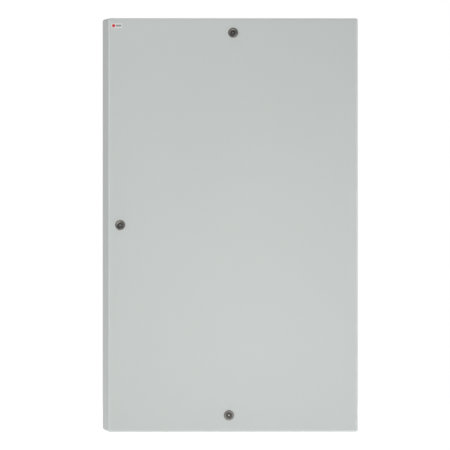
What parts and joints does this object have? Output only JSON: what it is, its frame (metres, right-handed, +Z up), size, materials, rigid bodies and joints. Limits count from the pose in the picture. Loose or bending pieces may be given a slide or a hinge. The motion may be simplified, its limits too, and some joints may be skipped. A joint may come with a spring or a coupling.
{
  "type": "fire alarm control panel",
  "caption": "Wall-mounted sheet-steel fire alarm control cabinet with a blank hinged door, quarter-turn locks and control equipment on an inner mounting plate.",
  "frame": {"origin": "centre of the wall-fixing pattern on the cabinet's rear face", "axes": "+X to the viewer's right, +Y from the door into the wall, +Z up; the door's face looks along -Y"},
  "size_m": [0.726, 0.3033, 1.2],
  "materials": {
    "powder_grey": "fine-textured light grey powder coat",
    "galvanised": "hot-dip galvanised sheet",
    "zinc_plated": "bright zinc-plated steel",
    "zinc_cast": "satin die-cast zinc",
    "dark_cast": "satin dark die-cast zinc",
    "brass": "turned brass",
    "black_rubber": "matt black rubber",
    "seal_foam": "foamed polyurethane gasket",
    "grey_rubber": "grey grommet rubber",
    "duct_grey": "grey PVC",
    "light_plastic": "light grey moulded plastic",
    "mid_plastic": "grey moulded plastic",
    "white_plastic": "white moulded plastic",
    "dark_plastic": "black moulded plastic",
    "battery_plastic": "dark grey moulded plastic",
    "green_plastic": "green moulded plastic",
    "board_green": "coated circuit board",
    "display_glass": "tinted display window",
    "lamp_lens": "moulded lens",
    "psu_metal": "sheet-steel housing",
    "red_insulation": "PVC insulation",
    "blue_insulation": "PVC insulation",
    "strap_copper": "tinned copper braid",
    "yellow_plastic": "yellow moulded plastic",
    "label_film": "printed film"
  },
  "bodies": {
    "cabinet": {"body_shell": "powder_grey", "rear_panel": "powder_grey", "gland_plate": "powder_grey", "gland_plate_gasket": "seal_foam", "cable_grommets": "grey_rubber", "plate_studs": "zinc_plated", "plate_fixings": "zinc_plated", "mounting_plate": "galvanised", "panel_screws": "zinc_plated", "hinge_brackets": "powder_grey", "hinge_pins": "zinc_plated", "din_rails": "zinc_plated", "wiring_ducts": "duct_grey", "duct_covers": "duct_grey", "mains_breaker": "white_plastic", "battery_breaker": "white_plastic", "power_supply_case": "psu_metal", "power_supply_terminals": "dark_plastic", "loop_modules": "light_plastic", "loop_module_plugs": "green_plastic", "terminal_blocks": "mid_plastic", "rail_supports": "dark_plastic", "earth_bar": "brass", "control_unit_case": "light_plastic", "control_unit_cover": "light_plastic", "control_unit_board": "board_green", "display_module": "display_glass", "indicator_lamps": "lamp_lens", "battery_shelf": "galvanised", "battery_cases": "battery_plastic", "battery_posts": "brass", "battery_bracket": "galvanised", "battery_leads": "red_insulation", "device_wires": "blue_insulation", "earth_stud": "brass", "contact_switch": "white_plastic", "earth_strap": "strap_copper"},
    "door": {"door_panel": "powder_grey", "door_channels": "powder_grey", "door_gasket": "seal_foam", "door_stiffeners": "powder_grey", "hinge_leaves": "powder_grey", "document_pocket": "mid_plastic", "lock_housings": "zinc_cast", "lock_nuts": "zinc_plated", "lock_seals": "black_rubber", "name_label": "label_film", "contact_magnet": "white_plastic", "door_stud": "brass"},
    "lock_side": {"lock_core_side": "dark_cast", "lock_cam_side": "zinc_plated"},
    "lock_top": {"lock_core_top": "dark_cast", "lock_cam_top": "zinc_plated"},
    "lock_bottom": {"lock_core_bottom": "dark_cast", "lock_cam_bottom": "zinc_plated"},
    "mains_switch": {"mains_toggle": "dark_plastic"},
    "battery_switch": {"battery_toggle": "dark_plastic"},
    "silence_key": {"button_silence": "yellow_plastic"},
    "reset_key": {"button_reset": "dark_plastic"},
    "test_key": {"button_test": "dark_plastic"}
  },
  "joints": [
    {"name": "door_swing", "type": "hinge", "parent": "cabinet", "child": "door", "pos_m": [0.356, -0.29, 0], "axis": [0, 0, 1], "range_deg": [0, 105], "deforming": ["earth_strap"]},
    {"name": "side_lock_turn", "type": "hinge", "parent": "door", "child": "lock_side", "pos_m": [-0.328, -0.29, 0], "axis": [0, 1, 0], "range_deg": [0, 90]},
    {"name": "top_lock_turn", "type": "hinge", "parent": "door", "child": "lock_top", "pos_m": [0, -0.29, 0.558], "axis": [0, 1, 0], "range_deg": [0, 90]},
    {"name": "bottom_lock_turn", "type": "hinge", "parent": "door", "child": "lock_bottom", "pos_m": [-0.012, -0.29, -0.552], "axis": [0, 1, 0], "range_deg": [0, 90]},
    {"name": "mains_toggle_throw", "type": "hinge", "parent": "cabinet", "child": "mains_switch", "pos_m": [-0.232, -0.0885, -0.015], "axis": [1, 0, 0], "range_deg": [0, 80]},
    {"name": "battery_toggle_throw", "type": "hinge", "parent": "cabinet", "child": "battery_switch", "pos_m": [-0.195, -0.0885, -0.015], "axis": [1, 0, 0], "range_deg": [0, 80]},
    {"name": "silence_button_press", "type": "slide", "parent": "cabinet", "child": "silence_key", "axis": [0, 1, 0], "range_m": [0, 0.0015], "stiffness_N_per_m": 400, "springref_m": -0.001},
    {"name": "reset_button_press", "type": "slide", "parent": "cabinet", "child": "reset_key", "axis": [0, 1, 0], "range_m": [0, 0.0015], "stiffness_N_per_m": 400, "springref_m": -0.001},
    {"name": "test_button_press", "type": "slide", "parent": "cabinet", "child": "test_key", "axis": [0, 1, 0], "range_m": [0, 0.0015], "stiffness_N_per_m": 400, "springref_m": -0.001}
  ]
}
